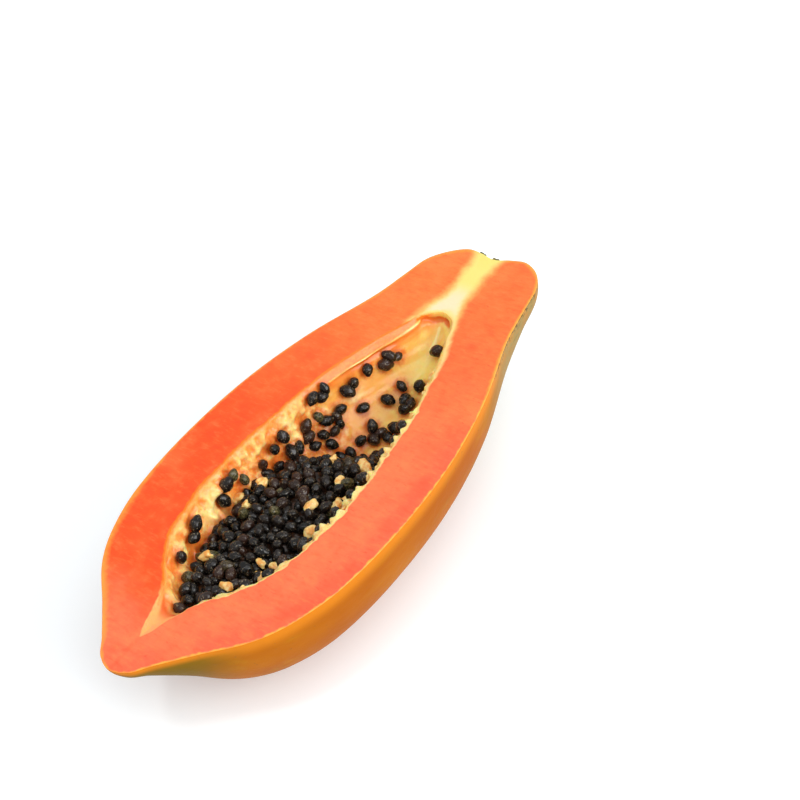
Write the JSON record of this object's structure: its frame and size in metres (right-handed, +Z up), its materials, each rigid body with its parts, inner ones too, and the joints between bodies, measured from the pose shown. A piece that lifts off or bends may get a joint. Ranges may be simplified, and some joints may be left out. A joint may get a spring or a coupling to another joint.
{
  "type": "papaya half",
  "caption": "Ripe papaya cut in half lengthwise, lying on its skin: orange flesh, a seed hollow and a heap of dark seeds.",
  "frame": {"origin": "on the surface that the half lies on, under the middle of its bounding box", "axes": "+X along the fruit from the blossom tip towards the stem end, +Y across the cut face, +Z up, square to the cut face"},
  "size_m": [0.2548, 0.1106, 0.058],
  "materials": {
    "flesh_and_skin": "moist satin cut flesh, waxy satin skin",
    "seeds": "wet gloss"
  },
  "bodies": {
    "root": {"fruit_half": "flesh_and_skin", "seed_heap": "seeds"}
  },
  "joints": []
}
